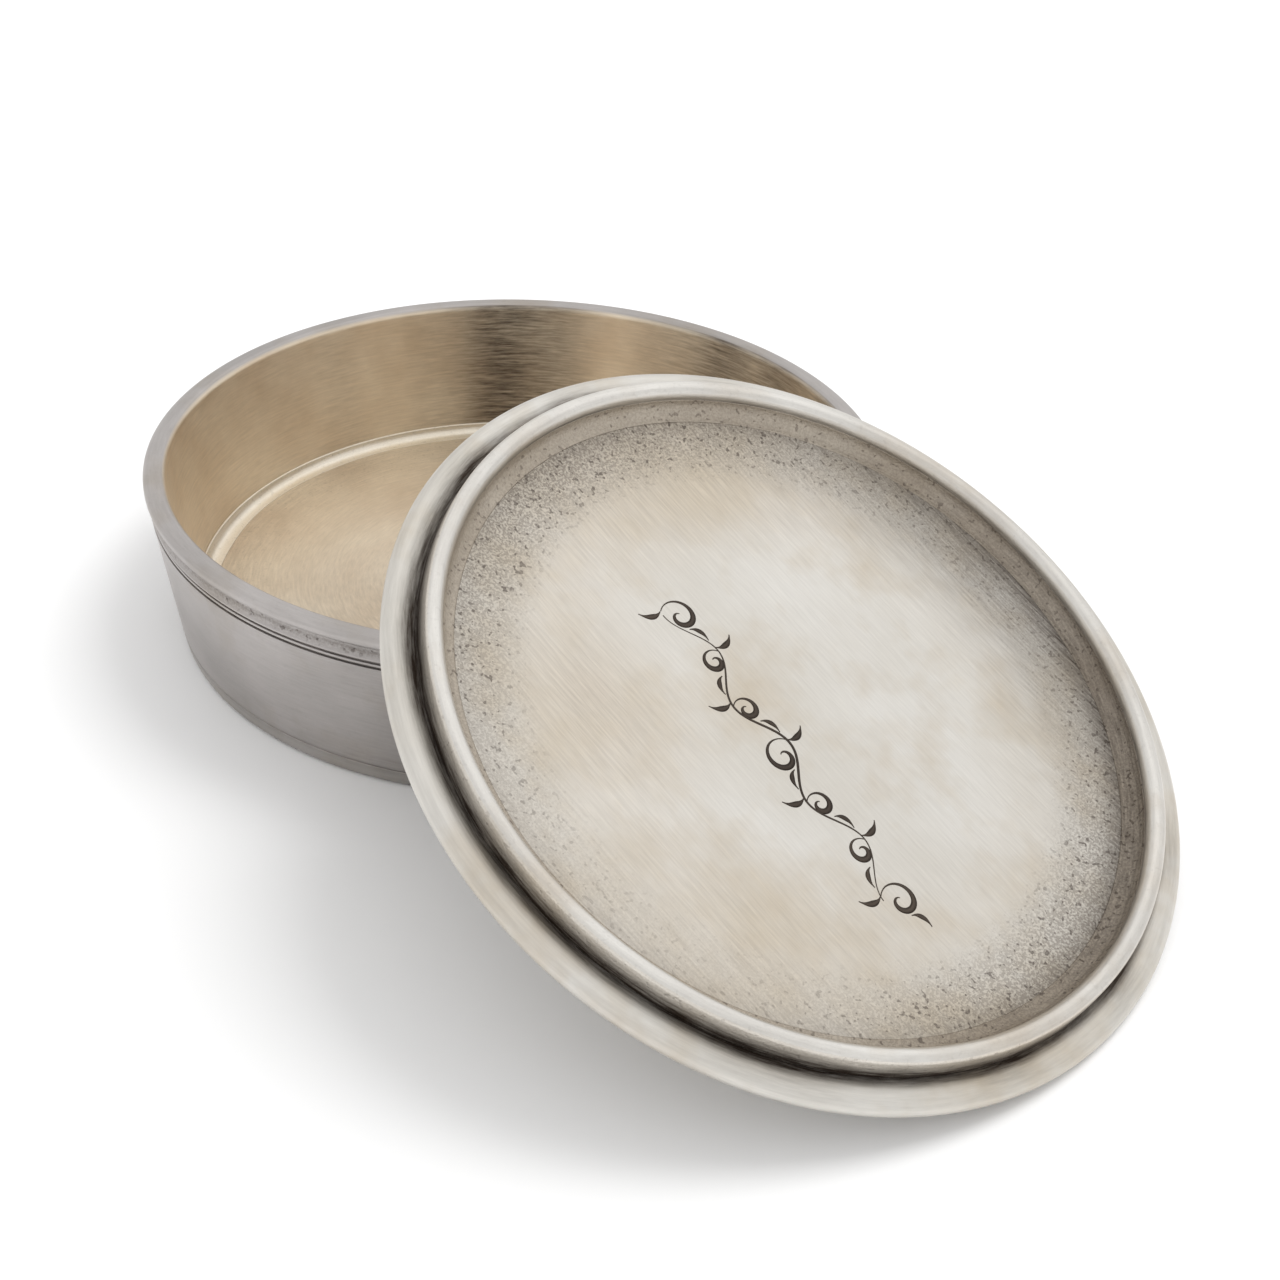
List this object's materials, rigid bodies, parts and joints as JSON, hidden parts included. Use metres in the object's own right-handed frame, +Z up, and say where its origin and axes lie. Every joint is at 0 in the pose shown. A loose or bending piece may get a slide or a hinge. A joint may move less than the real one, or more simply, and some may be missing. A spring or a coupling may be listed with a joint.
{
  "type": "pill box",
  "caption": "Round antiqued-pewter pill box with a moulded rim and a lift-off lid that lies underside up against the rim.",
  "frame": {"origin": "centre of the box's underside, on the table", "axes": "+Z up along the box's axis; the lid lies to the front right, towards +X and -Y"},
  "size_m": [0.0668, 0.0797, 0.0233],
  "materials": {
    "pewter_wall": "satin antiqued pewter",
    "pewter_base": "satin antiqued pewter",
    "solder_bright": "bright soft solder",
    "pewter_lid": "brushed pewter with dark patina in its hollows",
    "pewter_ring": "polished pewter",
    "solder_dark": "soft solder under dark patina"
  },
  "bodies": {
    "box": {"wall": "pewter_wall", "base_plate": "pewter_base", "floor_solder": "solder_bright"},
    "lid": {"lid_plate": "pewter_lid", "lid_ring": "pewter_ring", "lid_solder": "solder_dark"}
  },
  "joints": [
    {"name": "lid_lift", "type": "slide", "parent": "box", "child": "lid", "axis": [0, 0, 1], "range_m": [0, 0.06]}
  ]
}
